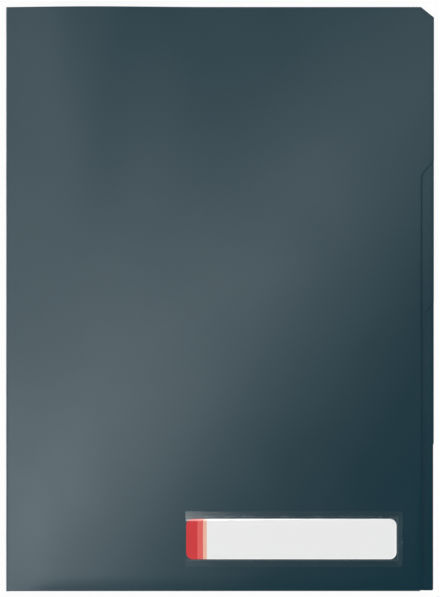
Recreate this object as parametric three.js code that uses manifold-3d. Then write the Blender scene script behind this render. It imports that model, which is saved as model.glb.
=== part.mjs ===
// A4 partition folder of polypropylene sheet, lying closed on its back cover.
//
// Two sheets are each folded once along the bottom edge. The smaller fold is nested in the larger one,
// which gives four leaves: front cover, front divider, rear divider and back cover. One seam down the
// left side welds all four together. The folder is open along the top and the right, where every leaf
// has its own index tab. A film pocket welded on three sides of the front cover holds a label card.
//
// X runs from the spine to the tabs, Y from the bottom fold to the open top, Z up out of the front cover.
// Millimetres. The origin is under the middle of the folder, on the surface that it lies on.
//
// The free top right corner of each leaf lifts. The thin sheet really bends along a band, so each leaf is
// cut there into flat strips that turn one after the other, and every strip rides on the leaf under it.

import * as THREE from "three";
import { mergeVertices } from "three/addons/utils/BufferGeometryUtils.js";
import Module from "manifold-3d";

const wasm = await Module();
wasm.setup();

// Covers
const COVER_WIDTH = 227;
const COVER_HEIGHT = 310;
const SHEET = 0.2; // thickness of the polypropylene sheet
const LEAF_GAP = 0.4; // clear gap from leaf to leaf where the folder lies flat
const SEAM_GAP = 0.1; // the same gap where the seam or the fold draws the leaves together

// Edges of the leaves
const TAB_WIDTH = 6.2; // how far an index tab stands out past the leaf in front of it
const FIRST_TAB_HEIGHT = 82.1; // top edge to the foot of the front cover's tab
const TAB_PITCH = 75.1; // foot of one tab to the foot of the next
const TAB_SLOPE = 6.9; // height over which a tab runs back into its leaf
const TAB_ROUND = 3.5; // radius at both ends of that slope
const CORNER_CUT_X = 6.9; // cut-off corner beside the top edge
const CORNER_CUT_Y = 5.5;
const CORNER_ROUND = 0.8; // radius on the small corners of the sheets

// Spine seam and bottom fold
const SEAM_WIDTH = 1; // melted bead down the left side
const SEAM_REACH = 16; // distance from the bead over which the leaves spread apart
const FOLD_REACH = 12; // the same above the bottom fold

// Slow hump of the open top edge beside the spine, where the leaves spring apart
const PUFF_HEIGHT = 2;
const PUFF_END = 118; // from the spine to where the sheet is flat again
const PUFF_FOOT = 120; // from the bottom fold to where the hump starts

// Bend line of the free corner: it leaves the top edge here and meets the tab side there
const BEND_TOP_X = 40;
const BEND_SIDE_Y = 45;
const BEND_STEP = 20; // from the bend of one leaf to the bend of the leaf in front of it
const BEND_SLIT = 0.3; // clear slit between two strips of one leaf

// Label pocket and card
const POCKET_X = 95.4; // spine to the open mouth of the pocket
const POCKET_Y = 13.1; // bottom fold to the lower edge of the film
const POCKET_WIDTH = 114.8;
const POCKET_HEIGHT = 29.4;
const POCKET_ROUND = 1.5;
const FILM = 0.15; // thickness of the clear film
const FILM_WELD = 3.2; // welded strip above and below the card
const FILM_END_WELD = 2.3; // welded strip at the closed end
const FILM_RAMP = 0.7; // width over which the film climbs from the weld to the card
const CARD_THICKNESS = 0.25;
const CARD_PLAY = 0.1; // clear room round the card, on every side of it
const CARD_INSET = 0.2; // mouth of the pocket to the near end of the card
const CARD_ROUND = 3.6;

// Fineness of the facets
const CURVE_STEPS = 8;
const RAMP_STEPS = 4;

const PP_COLOUR = 0x3e5058;
const SEAM_COLOUR = 0x35474f;
const FILM_COLOUR = 0xdfe6e8;
const CARD_COLOUR = 0xececea;

const FRONT = 3; // level of the front cover, counted from the back cover at 0
const FRONT_DIVIDER = 2;
const REAR_DIVIDER = 1;
const OPEN_PITCH = SHEET + LEAF_GAP;
const SEAM_PITCH = SHEET + SEAM_GAP;
const SEAM_STACK = FRONT * SEAM_PITCH + SHEET; // height of the four leaves at the seam and the fold
const FOLD_RADIUS = SEAM_STACK / 2;
const LEAF_WIDTH = COVER_WIDTH - TAB_WIDTH; // a leaf below its own tab
const FRONT_TOP = FRONT * OPEN_PITCH + SHEET; // upper face of the front cover where it lies flat

// Solids

// A closed mesh as a solid: only its positions count, and shared corners are merged.
function solidOf(geometry) {
  const bare = geometry.index ? geometry.toNonIndexed() : geometry.clone();
  bare.deleteAttribute("normal");
  bare.deleteAttribute("uv");
  const merged = mergeVertices(bare, 1e-5);
  return new wasm.Manifold(
    new wasm.Mesh({
      numProp: 3,
      vertProperties: new Float32Array(merged.attributes.position.array),
      triVerts: new Uint32Array(merged.index.array),
    }),
  );
}

function geometryOf(solid) {
  const mesh = solid.getMesh();
  const geometry = new THREE.BufferGeometry();
  geometry.setAttribute("position", new THREE.BufferAttribute(mesh.vertProperties, 3));
  geometry.setIndex(new THREE.BufferAttribute(mesh.triVerts, 1));
  const flat = geometry.toNonIndexed();
  flat.computeVertexNormals();
  return flat;
}

// A flat shape given a thickness upwards from height z.
function plate(shape, z, thickness) {
  const geometry = new THREE.ExtrudeGeometry(shape, {
    depth: thickness,
    bevelEnabled: false,
    curveSegments: CURVE_STEPS,
  });
  return geometry.translate(0, 0, z);
}

// A section carried along X from one place to another: its own x lies along Y and its y along Z.
function alongX(section, from, to) {
  const geometry = new THREE.ExtrudeGeometry(section, {
    depth: to - from,
    bevelEnabled: false,
    curveSegments: CURVE_STEPS,
  });
  const turn = new THREE.Matrix4().makeBasis(
    new THREE.Vector3(0, 1, 0),
    new THREE.Vector3(0, 0, 1),
    new THREE.Vector3(1, 0, 0),
  );
  return geometry.applyMatrix4(turn).translate(from, 0, 0);
}

// A section carried along Y from one place to another: its own x lies along X and its y along Z.
function alongY(section, from, to) {
  const geometry = new THREE.ExtrudeGeometry(section, {
    depth: to - from,
    bevelEnabled: false,
    curveSegments: CURVE_STEPS,
  });
  const turn = new THREE.Matrix4().makeBasis(
    new THREE.Vector3(1, 0, 0),
    new THREE.Vector3(0, 0, 1),
    new THREE.Vector3(0, -1, 0),
  );
  return geometry.applyMatrix4(turn).translate(0, to, 0);
}

// A thin sheet over a grid of stations. Its lower face lies at heightAt(x, y) and its upper face one
// thickness higher, and walls close it all round.
function drapedSheet(xs, ys, thickness, heightAt) {
  const across = xs.length;
  const positions = [];
  for (const lift of [0, thickness])
    for (const y of ys) {
      xs.forEach((x) => positions.push(x, y, heightAt(x, y) + lift));
    }
  const layer = across * ys.length;
  const lower = (i, j) => j * across + i;
  const upper = (i, j) => layer + lower(i, j);
  const faces = [];
  const quad = (a, b, c, d) => faces.push(a, b, c, a, c, d);
  for (let j = 0; j + 1 < ys.length; j++)
    for (let i = 0; i + 1 < across; i++) {
      quad(upper(i, j), upper(i + 1, j), upper(i + 1, j + 1), upper(i, j + 1));
      quad(lower(i, j), lower(i, j + 1), lower(i + 1, j + 1), lower(i + 1, j));
    }
  const lastX = across - 1;
  const lastY = ys.length - 1;
  for (let i = 0; i < lastX; i++) {
    quad(lower(i, 0), lower(i + 1, 0), upper(i + 1, 0), upper(i, 0));
    quad(lower(i + 1, lastY), lower(i, lastY), upper(i, lastY), upper(i + 1, lastY));
  }
  for (let j = 0; j < lastY; j++) {
    quad(lower(lastX, j), lower(lastX, j + 1), upper(lastX, j + 1), upper(lastX, j));
    quad(lower(0, j + 1), lower(0, j), upper(0, j), upper(0, j + 1));
  }
  const geometry = new THREE.BufferGeometry();
  geometry.setAttribute("position", new THREE.Float32BufferAttribute(positions, 3));
  geometry.setIndex(faces);
  return geometry;
}

// Evenly spaced stations from one place to another, both ends included.
function stations(from, to, count) {
  return Array.from({ length: count + 1 }, (_, i) => from + ((to - from) * i) / count);
}

// Stations of several stretches in order, with no place twice.
function joinStations(...stretches) {
  return [...new Set(stretches.flat())].sort((a, b) => a - b);
}

// Outlines

// A closed outline whose corners are [x, y, radius], counter-clockwise, each rounded by an arc.
function roundedOutline(corners) {
  const shape = new THREE.Shape();
  corners.forEach(([x, y, radius], i) => {
    const at = new THREE.Vector2(x, y);
    const [bx, by] = corners.at(i - 1);
    const [ax, ay] = corners[(i + 1) % corners.length];
    const back = new THREE.Vector2(bx, by).sub(at).normalize();
    const ahead = new THREE.Vector2(ax, ay).sub(at).normalize();
    if (!radius) {
      if (i === 0) shape.moveTo(x, y);
      else shape.lineTo(x, y);
      return;
    }
    const half = Math.acos(THREE.MathUtils.clamp(back.dot(ahead), -1, 1)) / 2;
    const start = at.clone().addScaledVector(back, radius / Math.tan(half));
    const end = at.clone().addScaledVector(ahead, radius / Math.tan(half));
    const middle = back.clone().add(ahead).normalize();
    const centre = at.clone().addScaledVector(middle, radius / Math.sin(half));
    const turn = back.cross(ahead) > 0; // an inside corner goes round clockwise
    if (i === 0) shape.moveTo(start.x, start.y);
    else shape.lineTo(start.x, start.y);
    shape.absarc(
      centre.x,
      centre.y,
      radius,
      Math.atan2(start.y - centre.y, start.x - centre.x),
      Math.atan2(end.y - centre.y, end.x - centre.x),
      turn,
    );
  });
  shape.closePath();
  return shape;
}

// How far above the bottom fold the foot of a leaf's tab is. Tabs step down from the front leaf to the back.
function tabFoot(level) {
  return COVER_HEIGHT - FIRST_TAB_HEIGHT - (FRONT - level) * TAB_PITCH;
}

// Plan of one leaf, from the seam to its tab and from the fold to the top edge.
function leafOutline(level) {
  const topRight = [
    [COVER_WIDTH, COVER_HEIGHT - CORNER_CUT_Y, CORNER_ROUND],
    [COVER_WIDTH - CORNER_CUT_X, COVER_HEIGHT, CORNER_ROUND],
    [SEAM_WIDTH, COVER_HEIGHT, 0],
  ];
  if (level === 0)
    return roundedOutline([
      [SEAM_WIDTH, FOLD_RADIUS, 0],
      [COVER_WIDTH, FOLD_RADIUS, CORNER_ROUND],
      ...topRight,
    ]);
  return roundedOutline([
    [SEAM_WIDTH, FOLD_RADIUS, 0],
    [LEAF_WIDTH, FOLD_RADIUS, 0],
    [LEAF_WIDTH, tabFoot(level) - TAB_SLOPE, TAB_ROUND],
    [COVER_WIDTH, tabFoot(level), TAB_ROUND],
    ...topRight,
  ]);
}

// Lie of the sheets

function ease(t) {
  return THREE.MathUtils.smoothstep(t, 0, 1);
}

// Height of the hump in the front cover: the square of the way along it times the cube of the way still to
// go, which is highest two fifths of the way along. It grows towards the open top.
function puffAt(x, y) {
  const along = THREE.MathUtils.clamp(x / PUFF_END, 0, 1);
  const wave = (along ** 2 * (1 - along) ** 3) / (0.4 ** 2 * 0.6 ** 3);
  return PUFF_HEIGHT * wave * ease((y - PUFF_FOOT) / (COVER_HEIGHT - PUFF_FOOT));
}

// Height of the lower face of a leaf. The leaves lie one open pitch apart and close up towards the seam
// and the fold, and each takes its share of the hump.
function leafHeight(level, x, y) {
  const spread = ease((x - SEAM_WIDTH) / SEAM_REACH) * ease((y - FOLD_RADIUS) / FOLD_REACH);
  const pitch = SEAM_PITCH + (OPEN_PITCH - SEAM_PITCH) * spread;
  return level * pitch + (level / FRONT) * puffAt(x, y);
}

// Stations are close together where the sheet curves and far apart where it is flat.
const LEAF_XS = joinStations(
  [0],
  stations(SEAM_WIDTH, SEAM_WIDTH + SEAM_REACH, 6),
  stations(SEAM_WIDTH + SEAM_REACH, PUFF_END, 12),
  [COVER_WIDTH + 1],
);
const LEAF_YS = joinStations(
  [0],
  stations(FOLD_RADIUS, FOLD_RADIUS + FOLD_REACH, 5),
  stations(PUFF_FOOT, COVER_HEIGHT, 8),
  [COVER_HEIGHT + 1],
);

// The whole leaf in one sheet, before it is cut along its bends.
function leafSolid(level) {
  const draped = drapedSheet(LEAF_XS, LEAF_YS, SHEET, (x, y) => leafHeight(level, x, y));
  const reach = FRONT_TOP + PUFF_HEIGHT + 1;
  return solidOf(draped).intersect(solidOf(plate(leafOutline(level), -1, reach + 1)));
}

// Bends

const BEND_START = new THREE.Vector2(BEND_TOP_X, COVER_HEIGHT);
const BEND_ALONG = new THREE.Vector2(COVER_WIDTH, BEND_SIDE_Y).sub(BEND_START).normalize();
const BEND_OUT = new THREE.Vector2(-BEND_ALONG.y, BEND_ALONG.x); // towards the free corner
const CUT_REACH = COVER_WIDTH + COVER_HEIGHT;

// A block over the part of the plan that lies between two distances out from the bend line.
function bendBlock(from, to) {
  const corner = (along, out) =>
    BEND_START.clone().addScaledVector(BEND_ALONG, along).addScaledVector(BEND_OUT, out);
  const shape = new THREE.Shape([
    corner(-CUT_REACH, from),
    corner(CUT_REACH, from),
    corner(CUT_REACH, to),
    corner(-CUT_REACH, to),
  ]);
  return solidOf(plate(shape, -1, FRONT_TOP + PUFF_HEIGHT + 2));
}

// The strips of one leaf, from the fixed part to the free corner. A leaf in front bends at each bend of
// the leaves behind it, and last at its own.
function leafStrips(level) {
  const whole = leafSolid(level);
  const bends = Array.from({ length: level }, (_, i) => i * BEND_STEP);
  const edges = [-CUT_REACH, ...bends, CUT_REACH];
  return edges
    .slice(1)
    .map((to, i) => geometryOf(whole.intersect(bendBlock(edges[i] + BEND_SLIT / 2, to - BEND_SLIT / 2))));
}

// Folds and seam

// Half a tube that joins the two leaves of one folded sheet, round the same centre line as the other fold.
function foldStrip(outerRadius) {
  const section = new THREE.Shape();
  section.absarc(FOLD_RADIUS, FOLD_RADIUS, outerRadius, Math.PI / 2, (3 * Math.PI) / 2, false);
  section.absarc(FOLD_RADIUS, FOLD_RADIUS, outerRadius - SHEET, (3 * Math.PI) / 2, Math.PI / 2, true);
  section.closePath();
  return alongX(section, SEAM_WIDTH, LEAF_WIDTH);
}

// The bead where the four sheets are melted together, round outside and flat where the leaves run in.
function spineSeam() {
  const section = new THREE.Shape();
  section.moveTo(SEAM_WIDTH, 0);
  section.lineTo(SEAM_WIDTH, SEAM_STACK);
  section.absellipse(
    SEAM_WIDTH,
    SEAM_STACK / 2,
    SEAM_WIDTH,
    SEAM_STACK / 2,
    Math.PI / 2,
    (3 * Math.PI) / 2,
    false,
    0,
  );
  section.closePath();
  return alongY(section, 0, COVER_HEIGHT);
}

// Label pocket

const FILM_BORDER = FILM_WELD + FILM_RAMP;
const CARD_HEIGHT = POCKET_HEIGHT - 2 * (FILM_BORDER + CARD_PLAY);
const CARD_WIDTH = POCKET_WIDTH - CARD_INSET - FILM_END_WELD - FILM_RAMP - CARD_PLAY;
const POCKET_RIGHT = POCKET_X + POCKET_WIDTH;
const POCKET_TOP = POCKET_Y + POCKET_HEIGHT;

// The film lies on the cover along its three welds and stands clear of it over the card.
function filmHeight(x, y) {
  const inFromTop = (POCKET_TOP - FILM_WELD - y) / FILM_RAMP;
  const inFromBottom = (y - POCKET_Y - FILM_WELD) / FILM_RAMP;
  const inFromEnd = (POCKET_RIGHT - FILM_END_WELD - x) / FILM_RAMP;
  const climb = ease(Math.min(inFromTop, inFromBottom, inFromEnd));
  return FRONT_TOP + (CARD_THICKNESS + 2 * CARD_PLAY) * climb;
}

function labelPocket() {
  const xs = joinStations(
    [POCKET_X - 1, POCKET_X, POCKET_X + POCKET_WIDTH / 2],
    stations(POCKET_RIGHT - FILM_END_WELD - FILM_RAMP, POCKET_RIGHT - FILM_END_WELD, RAMP_STEPS),
    [POCKET_RIGHT + 1],
  );
  const ys = joinStations(
    [POCKET_Y - 1],
    stations(POCKET_Y + FILM_WELD, POCKET_Y + FILM_BORDER, RAMP_STEPS),
    stations(POCKET_TOP - FILM_BORDER, POCKET_TOP - FILM_WELD, RAMP_STEPS),
    [POCKET_TOP + 1],
  );
  const outline = roundedOutline([
    [POCKET_X, POCKET_Y, 0],
    [POCKET_RIGHT, POCKET_Y, POCKET_ROUND],
    [POCKET_RIGHT, POCKET_TOP, POCKET_ROUND],
    [POCKET_X, POCKET_TOP, 0],
  ]);
  const film = solidOf(drapedSheet(xs, ys, FILM, filmHeight));
  return geometryOf(film.intersect(solidOf(plate(outline, FRONT_TOP - 1, 3))));
}

function labelCard() {
  const left = POCKET_X + CARD_INSET;
  const bottom = POCKET_Y + FILM_BORDER + CARD_PLAY;
  const outline = roundedOutline([
    [left, bottom, CARD_ROUND],
    [left + CARD_WIDTH, bottom, CARD_ROUND],
    [left + CARD_WIDTH, bottom + CARD_HEIGHT, CARD_ROUND],
    [left, bottom + CARD_HEIGHT, CARD_ROUND],
  ]);
  return plate(outline, FRONT_TOP + CARD_PLAY, CARD_THICKNESS);
}

// The folder

function plastic(colour) {
  return new THREE.MeshStandardMaterial({ color: colour, roughness: 0.5, metalness: 0 });
}

const sheetMaterial = plastic(PP_COLOUR);
const seamMaterial = plastic(SEAM_COLOUR);
const filmMaterial = new THREE.MeshStandardMaterial({
  color: FILM_COLOUR,
  roughness: 0.08,
  metalness: 0,
  transparent: true,
  opacity: 0.2,
});
const cardMaterial = new THREE.MeshStandardMaterial({ color: CARD_COLOUR, roughness: 0.85, metalness: 0 });

const folder = new THREE.Group();
folder.position.set(-COVER_WIDTH / 2, -COVER_HEIGHT / 2, 0);

function add(name, geometry, material) {
  const mesh = new THREE.Mesh(geometry, material);
  mesh.name = name;
  folder.add(mesh);
}

add("back_cover", plate(leafOutline(0), 0, SHEET), sheetMaterial);
add("outer_fold", foldStrip(FOLD_RADIUS), sheetMaterial);
add("divider_fold", foldStrip(FOLD_RADIUS - SEAM_PITCH), sheetMaterial);
add("spine_seam", spineSeam(), seamMaterial);

const leaves = [
  [REAR_DIVIDER, ["rear_divider", "rear_divider_corner"]],
  [FRONT_DIVIDER, ["front_divider", "front_divider_bend", "front_divider_corner"]],
  [FRONT, ["front_cover", "front_cover_bend_1", "front_cover_bend_2", "front_cover_corner"]],
];
for (const [level, names] of leaves) {
  const strips = leafStrips(level);
  names.forEach((name, i) => add(name, strips[i], sheetMaterial));
}

add("label_pocket", labelPocket(), filmMaterial);
add("label_card", labelCard(), cardMaterial);

export default folder;
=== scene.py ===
"""An A4 partition folder of embossed polypropylene, lying closed on its back cover.

Four leaves are welded together down the spine and folded in pairs along the bottom. Each has an index tab
on the open side. A clear film pocket on the front cover holds a label card with a printed end.

Page coordinates are millimetres from the spine (x) and from the bottom fold (y), with z up out of the front
cover. One place turns them into the row frame in metres.
"""

import logging
import math
from collections.abc import Callable
from dataclasses import dataclass, field
from enum import Enum, IntEnum

import bmesh
import bpy
import numpy as np
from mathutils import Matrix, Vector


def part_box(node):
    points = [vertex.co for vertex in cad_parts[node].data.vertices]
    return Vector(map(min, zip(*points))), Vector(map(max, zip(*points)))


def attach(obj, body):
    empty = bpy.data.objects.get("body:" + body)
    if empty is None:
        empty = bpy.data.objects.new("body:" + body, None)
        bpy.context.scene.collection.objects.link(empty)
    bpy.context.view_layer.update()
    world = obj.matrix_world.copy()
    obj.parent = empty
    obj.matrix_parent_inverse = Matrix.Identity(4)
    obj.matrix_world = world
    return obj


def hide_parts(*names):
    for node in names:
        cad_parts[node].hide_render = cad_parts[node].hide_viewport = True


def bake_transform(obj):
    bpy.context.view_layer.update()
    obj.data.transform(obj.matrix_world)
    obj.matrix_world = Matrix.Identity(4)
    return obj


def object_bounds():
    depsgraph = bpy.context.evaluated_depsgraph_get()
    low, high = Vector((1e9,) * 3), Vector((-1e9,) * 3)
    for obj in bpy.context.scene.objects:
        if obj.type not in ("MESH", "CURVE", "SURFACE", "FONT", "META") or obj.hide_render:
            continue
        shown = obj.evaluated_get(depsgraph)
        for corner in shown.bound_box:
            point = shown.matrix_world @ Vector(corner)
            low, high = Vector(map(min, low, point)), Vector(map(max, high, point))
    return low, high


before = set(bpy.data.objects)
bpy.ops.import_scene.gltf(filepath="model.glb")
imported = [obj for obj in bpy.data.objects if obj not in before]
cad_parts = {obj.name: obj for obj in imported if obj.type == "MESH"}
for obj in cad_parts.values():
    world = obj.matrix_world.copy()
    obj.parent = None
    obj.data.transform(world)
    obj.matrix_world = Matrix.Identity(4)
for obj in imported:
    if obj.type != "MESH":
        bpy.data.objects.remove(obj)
CAD_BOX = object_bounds()

LOG = logging.getLogger("folder")
MM = 0.001
MERGE_DISTANCE = 1e-7
SHARP_ANGLE = math.radians(35)


class Leaf(IntEnum):
    """The four leaves, counted from the one that the folder lies on."""

    BACK_COVER = 0
    REAR_DIVIDER = 1
    FRONT_DIVIDER = 2
    FRONT_COVER = 3


class Slot(Enum):
    """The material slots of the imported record."""

    SHEET = "sheet"
    SEAM = "seam"
    FILM = "film"
    CARD = "card"


def ease(t: np.ndarray) -> np.ndarray:
    """Smooth step: 0 below 0, 1 above 1, and three t squared less two t cubed between.

    Args:
        t: Where along the step, 0 at its start and 1 at its end.

    Returns:
        The eased values, of the same shape.
    """
    t = np.clip(t, 0.0, 1.0)
    return t * t * (3.0 - 2.0 * t)


def arc_fall(t: np.ndarray, radius: float) -> np.ndarray:
    """How far a quarter circle has fallen away from its tangent.

    That is the radius less the root of the radius squared less the distance squared.

    Args:
        t: Distances along the tangent from where they touch, held between 0 and the radius.
        radius: The circle's radius.

    Returns:
        The falls, of the same shape.
    """
    t = np.clip(t, 0.0, radius)
    return radius - np.sqrt(np.maximum(radius**2 - t**2, 0.0))


def joined_steps(stops: list[float], counts: list[int]) -> np.ndarray:
    """Values that go from stop to stop in even steps.

    Args:
        stops: The stops in order.
        counts: How many steps each stretch between two stops has.

    Returns:
        The values, from the first stop to the last.
    """
    spans = zip(stops, stops[1:], counts)
    return np.concatenate([*(np.linspace(a, b, n, endpoint=False) for a, b, n in spans), stops[-1:]])


def linear(colour: str) -> tuple[float, float, float, float]:
    """Turns an sRGB hex colour into linear light.

    Args:
        colour: Six hex digits after a number sign.

    Returns:
        Red, green, blue and an alpha of 1.
    """
    parts = [int(colour[i : i + 2], 16) / 255.0 for i in (1, 3, 5)]
    light = [c / 12.92 if c <= 0.04045 else ((c + 0.055) / 1.055) ** 2.4 for c in parts]
    return (light[0], light[1], light[2], 1.0)


@dataclass(frozen=True)
class FolderSizes:
    """Sizes of the folder in millimetres, and the lie of its sheets."""

    width: float = (CAD_BOX[1][0] - CAD_BOX[0][0]) / MM
    height: float = (CAD_BOX[1][1] - CAD_BOX[0][1]) / MM
    sheet: float = 0.2
    leaf_gap: float = 0.16  # between leaves that lie flat
    seam_gap: float = 0.1  # between leaves at the seam and the fold
    tab_width: float = 6.2
    first_tab_height: float = 82.1
    tab_pitch: float = 75.1  # from one tab's foot to the next
    tab_slope: float = 6.9  # height of the slope at a tab's foot
    tab_round: float = 3.5
    corner_cut: tuple[float, float] = (6.9, 5.5)  # along the top and down the side
    corner_round: float = 0.8
    seam_width: float = 1.0
    seam_reach: float = 24.0  # over which the leaves part from the seam
    fold_reach: float = 8.0  # over which they part from the fold
    edge_roll: float = 0.7  # width of the rolled edge
    edge_roll_depth: float = 0.07
    puff_height: float = 2.0  # of the hump at the open top edge
    puff_end: float = 118.0  # where the hump ends, from the spine
    puff_foot: float = 120.0  # where it begins, from the fold
    puff_start: float = 0.13  # height that the hump gains at once beside the weld
    start_reach: float = 9.0  # over which it gains that height
    back_trim: float = 0.27  # how much narrower the back cover is than the tabs over it
    foot_drop: float = 0.22  # how far the foot of the back cover's tab reaches below the leaf
    foot_reach: float = 2.0  # how far up and in from that tab's foot the drop reaches
    end_cut: float = 1.1  # how far the folds end short of the leaves' open side
    bend_top_x: float = 40.0  # where the first bend line meets the top edge
    bend_side_y: float = 45.0  # where it meets the open side
    bend_step: float = 20.0  # from one bend line to the next
    step_margin: float = 2.0  # beyond the tab's step, up to which the rows lie closer
    least_row: float = 0.02  # from one row to the next

    @property
    def open_pitch(self) -> float:
        """Height from leaf to leaf where the folder lies flat."""
        return self.sheet + self.leaf_gap

    @property
    def seam_pitch(self) -> float:
        """Height from leaf to leaf at the seam and the fold."""
        return self.sheet + self.seam_gap

    @property
    def seam_stack(self) -> float:
        """Height of all four leaves at the seam and the fold."""
        return Leaf.FRONT_COVER * self.seam_pitch + self.sheet

    @property
    def fold_radius(self) -> float:
        """Outer radius of the larger fold, which is also where the leaves begin."""
        return self.seam_stack / 2

    @property
    def leaf_width(self) -> float:
        """Width of a leaf below its own tab."""
        return self.width - self.tab_width

    @property
    def bend_out(self) -> np.ndarray:
        """Unit vector in the page, square to the bend lines, towards the free corner."""
        along = np.array([self.width - self.bend_top_x, self.bend_side_y - self.height])
        return np.array([-along[1], along[0]]) / np.linalg.norm(along)

    def lift(self, leaf: Leaf, x: np.ndarray, y: np.ndarray) -> np.ndarray:
        """Height of a leaf's lower face.

        The leaves lie one pitch apart. The pitch eases away from the seam to its open value, and leaves the
        fold as a parabola. Each leaf takes its share of one slow hump beside the spine at the open top edge:
        the square of the way along it times the cube of the way still to go, scaled to 1 at its peak. To
        that comes a quick start at the weld, which the sheets leave at an angle: one less the cube of the
        way still to go in the start, times the same cube as the hump.

        Args:
            leaf: Which leaf.
            x: Distances from the spine.
            y: Distances from the bottom fold.

        Returns:
            The heights, of the same shape.
        """
        from_fold = np.clip((y - self.fold_radius) / self.fold_reach, 0.0, 1.0)
        spread = ease((x - self.seam_width) / self.seam_reach) * (1 - (1 - from_fold) ** 2)
        pitch = self.seam_pitch + (self.open_pitch - self.seam_pitch) * spread
        along = np.clip(x / self.puff_end, 0.0, 1.0)
        wave = along**2 * (1 - along) ** 3 / (0.4**2 * 0.6**3)
        from_weld = np.clip((x - self.seam_width) / self.start_reach, 0.0, 1.0)
        start = (1 - (1 - from_weld) ** 3) * (1 - along) ** 3
        up = ease((y - self.puff_foot) / (self.height - self.puff_foot))
        puff = (self.puff_height * wave + self.puff_start * start) * up
        return leaf * pitch + leaf / Leaf.FRONT_COVER * puff

    def roll(self, leaf: Leaf, x: np.ndarray, y: np.ndarray) -> np.ndarray:
        """How far the cutting rule rolled the sheet's edge down: a parabola over the last of it.

        Args:
            leaf: Which leaf.
            x: Distances from the spine.
            y: Distances from the bottom fold.

        Returns:
            The drops, of the same shape.
        """
        inside = np.minimum(self.open_edge(leaf, y) - x, self.height - y)
        return self.edge_roll_depth * (1 - np.clip(inside / self.edge_roll, 0.0, 1.0)) ** 2

    def bend_x(self, out: float, y: np.ndarray) -> np.ndarray:
        """Where the line at a distance out from the first bend crosses each y: a straight line.

        Args:
            out: Distance out from the first bend line.
            y: Distances from the bottom fold.

        Returns:
            The distances from the spine, of the same shape.
        """
        nx, ny = self.bend_out
        return self.bend_top_x + (out + (self.height - y) * ny) / nx

    def tab_foot(self, leaf: Leaf) -> float:
        """How far above the fold the foot of a leaf's tab is."""
        return self.height - self.first_tab_height - (Leaf.FRONT_COVER - leaf) * self.tab_pitch

    def open_edge(self, leaf: Leaf, y: np.ndarray) -> np.ndarray:
        """Where the open side of a leaf is at each y.

        From the fold up it is a straight edge, a sloping step with an arc at both ends, the straight edge of
        the tab, and a cut-off corner with a small arc at both ends. The back cover is all tab, with a small
        arc at its foot.

        Args:
            leaf: Which leaf.
            y: Distances from the bottom fold.

        Returns:
            The distances from the spine, of the same shape.
        """
        if leaf is Leaf.BACK_COVER:
            round_foot = arc_fall(self.fold_radius + self.corner_round - y, self.corner_round)
            edge = self.width - self.back_trim - round_foot
        else:
            edge = self._tab_step(self.tab_foot(leaf), y)
        return np.minimum(edge, self._cut_corner(y))

    def _tab_step(self, foot: float, y: np.ndarray) -> np.ndarray:
        """The straight edge, the slope and the tab, joined by two arcs that touch them.

        Args:
            foot: Distance of the tab's foot from the bottom fold.
            y: Distances from the bottom fold.

        Returns:
            The distances from the spine, of the same shape.
        """
        r = self.tab_round
        angle = math.atan2(self.tab_width, self.tab_slope)
        reach = r * math.tan(angle / 2)
        low, high = foot - self.tab_slope - reach, foot + reach
        arc = r * math.sin(angle)
        slope = self.leaf_width + (y - foot + self.tab_slope) * self.tab_width / self.tab_slope
        first, last = self.leaf_width + arc_fall(y - low, r), self.width - arc_fall(high - y, r)
        return np.select([y < low + arc, y < high - arc], [first, slope], last)

    def _cut_corner(self, y: np.ndarray) -> np.ndarray:
        """The cut-off corner: a straight cut with a small arc where it meets the side and the top.

        Args:
            y: Distances from the bottom fold.

        Returns:
            The distances from the spine, of the same shape.
        """
        cut_x, cut_y = self.corner_cut
        r = self.corner_round
        from_side = math.atan2(cut_x, cut_y)
        from_top = math.pi / 2 - from_side
        straight = self.width - (y - self.height + cut_y) * cut_x / cut_y
        side_start = self.height - cut_y - r * math.tan(from_side / 2)
        side = self.width - arc_fall(y - side_start, r)
        top_end = self.width - cut_x - r * math.tan(from_top / 2)
        top = top_end + r - arc_fall(y - self.height + r, r)
        in_side = y < side_start + r * math.sin(from_side)
        in_top = y > self.height - r * (1 - math.cos(from_top))
        return np.select([in_side, in_top], [side, top], straight)

    def drop(self, leaf: Leaf, x: np.ndarray, y: np.ndarray) -> np.ndarray:
        """How far points near the foot of a leaf lie below their row.

        Only the back cover's tab reaches lower than the leaves, past the end of the fold. It eases in just
        before that end and dies out up the page.

        Args:
            leaf: Which leaf.
            x: Distances from the spine.
            y: Distances from the bottom fold.

        Returns:
            The distances, of the same shape.
        """
        if leaf is not Leaf.BACK_COVER:
            return np.zeros_like(x)
        beside = ease((x - self.leaf_width + self.foot_reach) / self.end_cut)
        return self.foot_drop * beside * (1 - np.clip((y - self.fold_radius) / self.foot_reach, 0.0, 1.0))

    def rows(self, leaf: Leaf, spacing: float) -> np.ndarray:
        """Heights up the page at which a leaf has a row of points.

        The rows are evenly spaced, and closer together at the fold, the tab's step and the cut corner.

        Args:
            leaf: Which leaf.
            spacing: Distance between the plain rows.

        Returns:
            The rows in order.
        """
        start, top = self.fold_radius, self.height
        foot = self.tab_foot(leaf)
        near_step = np.linspace(foot - self.tab_slope - self.step_margin, foot + self.step_margin, 29)
        cut_y = self.corner_cut[1]
        parts = [
            np.arange(start, top, spacing),
            start + self.corner_round * (1 - np.cos(np.linspace(0.0, 0.5 * math.pi, 7))),
            np.linspace(start, start + self.fold_reach, 13),
            np.linspace(top - cut_y - self.corner_round, top - cut_y + self.corner_round, 13),
            np.linspace(top - self.corner_round, top, 9),
            near_step[(near_step > start) & (near_step < top)],
        ]
        rows = np.unique(np.round(np.concatenate(parts), 4))
        return rows[np.concatenate([[True], np.diff(rows) > self.least_row])]

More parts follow.
